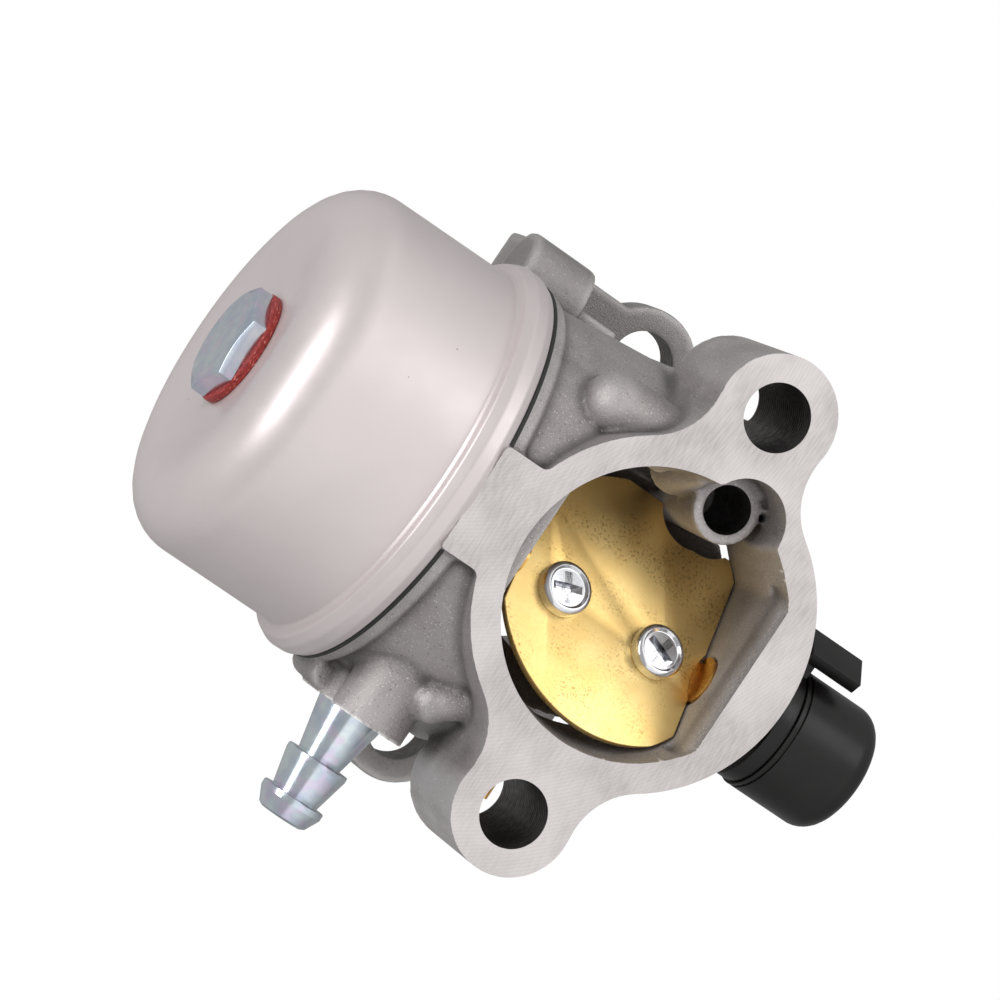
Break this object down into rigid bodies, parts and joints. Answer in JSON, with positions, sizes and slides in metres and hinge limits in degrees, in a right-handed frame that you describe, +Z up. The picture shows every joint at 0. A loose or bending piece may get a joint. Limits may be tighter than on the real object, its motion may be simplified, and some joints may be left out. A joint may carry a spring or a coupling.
{
  "type": "carburetor",
  "caption": "Small-engine side-inlet carburetor with a round float bowl, choke and throttle plates, two stud flanges and a fuel hose barb.",
  "frame": {"origin": "midpoint between the two stud holes, on the engine face of the rear flange", "axes": "+Y out of the engine face along the throat, +Z up away from the float bowl, +X towards the fuel inlet barb"},
  "size_m": [0.0815, 0.0585, 0.0925],
  "materials": {
    "cast_aluminium": "die-cast and shot-blasted, with machined faces",
    "bowl_steel": "satin plated pressed sheet",
    "gasket_rubber": "matt black",
    "zinc_steel": "bright zinc plating with a blue tint",
    "red_fibre": "vulcanised fibre",
    "brass": "mill-finish brass",
    "bright_screw": "bright nickel plating",
    "black_plastic": "satin moulded nylon",
    "spring_steel": "drawn wire",
    "float_plastic": "moulded black plastic",
    "plug_aluminium": "pressed disc"
  },
  "bodies": {
    "carburetor": {"body_casting": "cast_aluminium", "float_bowl": "bowl_steel", "bowl_gasket": "gasket_rubber", "bowl_bolt": "zinc_steel", "bowl_bolt_washer": "red_fibre", "fuel_inlet_barb": "zinc_steel", "main_jet": "brass", "main_nozzle": "brass", "idle_jet": "brass", "inlet_valve_seat": "brass", "float_hinge_pin": "bright_screw", "choke_shaft_seal": "gasket_rubber", "throttle_shaft_seal": "gasket_rubber", "idle_speed_spring": "spring_steel", "idle_mixture_spring": "spring_steel", "transfer_chamber_plug": "plug_aluminium"},
    "choke_lever": {"choke_lever": "black_plastic", "choke_lever_cap": "black_plastic", "choke_relief_spring": "spring_steel"},
    "choke_valve": {"choke_shaft": "brass", "choke_plate": "brass", "choke_plate_screws": "bright_screw", "choke_shaft_clip": "spring_steel"},
    "throttle": {"throttle_shaft": "zinc_steel", "throttle_plate": "brass", "throttle_plate_screws": "bright_screw", "throttle_lever": "black_plastic", "throttle_lever_screw": "bright_screw"},
    "float": {"float_ring": "float_plastic"},
    "needle": {"inlet_needle": "brass"},
    "idle_speed_screw": {"idle_speed_screw": "zinc_steel"},
    "idle_mixture_screw": {"idle_mixture_screw": "brass"}
  },
  "joints": [
    {"name": "choke_lever_turn", "type": "hinge", "parent": "carburetor", "child": "choke_lever", "pos_m": [0.0026, -0.0485, 0.024], "axis": [0, 0, -1], "range_deg": [0, 45]},
    {"name": "choke_relief", "type": "hinge", "parent": "choke_lever", "child": "choke_valve", "pos_m": [0.0026, -0.0485, 0], "axis": [0, 0, -1], "range_deg": [0, 10], "stiffness_Nm_per_rad": 0.02},
    {"name": "throttle_turn", "type": "hinge", "parent": "carburetor", "child": "throttle", "pos_m": [0, -0.0136, 0], "axis": [0, 0, -1], "range_deg": [0, 78]},
    {"name": "float_hinge", "type": "hinge", "parent": "carburetor", "child": "float", "pos_m": [0.0205, -0.033, -0.028], "axis": [0, 1, 0], "range_deg": [0, 6]},
    {"name": "needle_lift", "type": "slide", "parent": "carburetor", "child": "needle", "axis": [0, 0, 1], "range_m": [0, 0.000525]},
    {"name": "idle_speed_turn", "type": "hinge", "parent": "carburetor", "child": "idle_speed_screw", "pos_m": [-0.0167, -0.027, 0.0205], "axis": [1, 0, 0], "range_deg": [-360, 360]},
    {"name": "idle_mixture_turn", "type": "hinge", "parent": "carburetor", "child": "idle_mixture_screw", "pos_m": [0.0264, -0.0195, 0.007], "axis": [-1, 0, 0], "range_deg": [-540, 540]}
  ],
  "couplings": [
    {"joint": "needle_lift", "follows": "float_hinge", "m_per_rad": 0.005}
  ]
}
